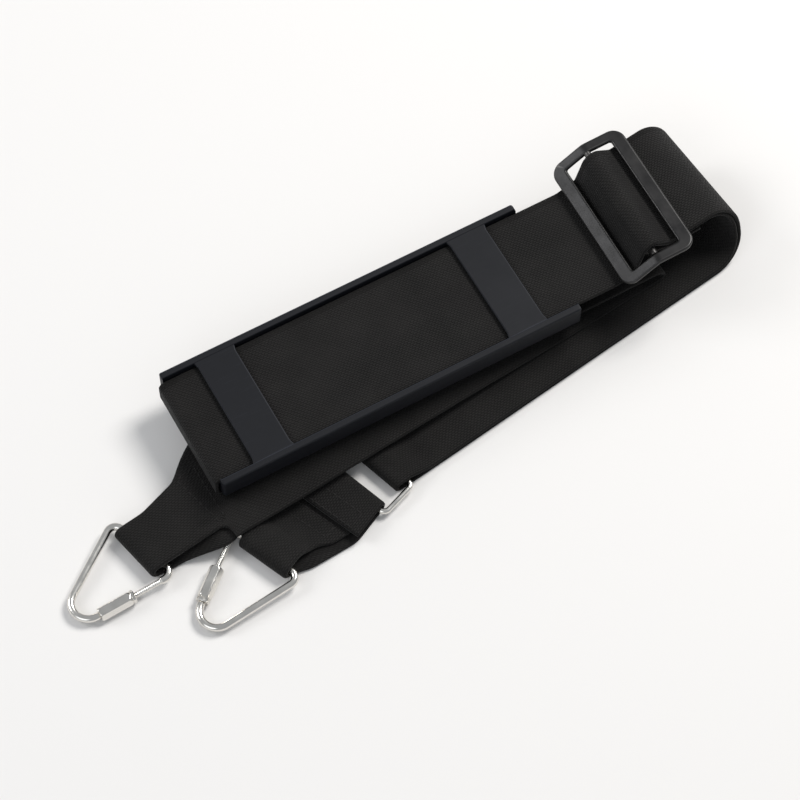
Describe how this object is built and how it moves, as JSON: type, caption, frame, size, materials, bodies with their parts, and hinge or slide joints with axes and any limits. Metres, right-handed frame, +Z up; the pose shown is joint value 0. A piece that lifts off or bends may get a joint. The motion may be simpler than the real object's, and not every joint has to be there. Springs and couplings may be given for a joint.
{
  "type": "padded carrying strap",
  "caption": "Folded webbing carrying strap with a moulded shoulder pad, a bent slide for its length, a wire ring and triangular screw links at its ends.",
  "frame": {"origin": "on the floor under the middle of the folded strap's box", "axes": "+X along the shoulder pad from link A towards the slide and the open fold, +Y away from the ring side, +Z up from the floor"},
  "size_m": [0.3182, 0.1084, 0.0392],
  "materials": {
    "webbing": "dense plain weave, dull black",
    "thread": "black sewing thread",
    "pad": "satin moulded rubber, cool black",
    "slide": "dark satin metal",
    "slide_bar": "satin",
    "nickel": "bright nickel"
  },
  "bodies": {
    "strap": {"main_webbing": "webbing", "stitching_link_a": "thread", "stitching_slide_end": "thread"},
    "pad": {"shoulder_pad": "pad"},
    "slide": {"slide_frame": "slide", "slide_centre_bar": "slide_bar"},
    "ring": {"ring": "nickel"},
    "tab": {"tab_webbing": "webbing", "stitching_tab_ring": "thread", "stitching_tab_link": "thread"},
    "link_a": {"link_a_rod": "nickel"},
    "sleeve_a": {"link_a_sleeve": "nickel"},
    "link_b": {"link_b_rod": "nickel"},
    "sleeve_b": {"link_b_sleeve": "nickel"}
  },
  "joints": [
    {"name": "pad_travel", "type": "slide", "parent": "strap", "child": "pad", "axis": [1, 0, 0], "range_m": [0, 0.016]},
    {"name": "slide_rock", "type": "hinge", "parent": "strap", "child": "slide", "pos_m": [0.1142, 0.02202, 0.0342], "axis": [0.0174, 0.9998, 0], "range_deg": [-1.5, 4]},
    {"name": "ring_swing", "type": "hinge", "parent": "strap", "child": "ring", "pos_m": [-0.02411, -0.00927, 0.00295], "axis": [-0.342, 0.9397, 0], "range_deg": [-75, 0]},
    {"name": "tab_swing", "type": "hinge", "parent": "ring", "child": "tab", "pos_m": [-0.04009, -0.01509, 0.00295], "axis": [-0.342, 0.9397, 0], "range_deg": [-60, 0]},
    {"name": "link_a_swing", "type": "hinge", "parent": "strap", "child": "link_a", "pos_m": [-0.1213, -0.00758, 0.00395], "axis": [-0.3322, 0.9432, 0], "range_deg": [0, 110]},
    {"name": "sleeve_a_travel", "type": "slide", "parent": "link_a", "child": "sleeve_a", "axis": [0.9988, 0.0355, 0.0328], "range_m": [0, 0.01]},
    {"name": "link_b_swing", "type": "hinge", "parent": "tab", "child": "link_b", "pos_m": [-0.07969, -0.03381, 0.00395], "axis": [-0.3811, 0.9245, 0], "range_deg": [-90, 0]},
    {"name": "sleeve_b_travel", "type": "slide", "parent": "link_b", "child": "sleeve_b", "axis": [0.7683, 0.6393, 0.0328], "range_m": [0, 0.006]}
  ]
}
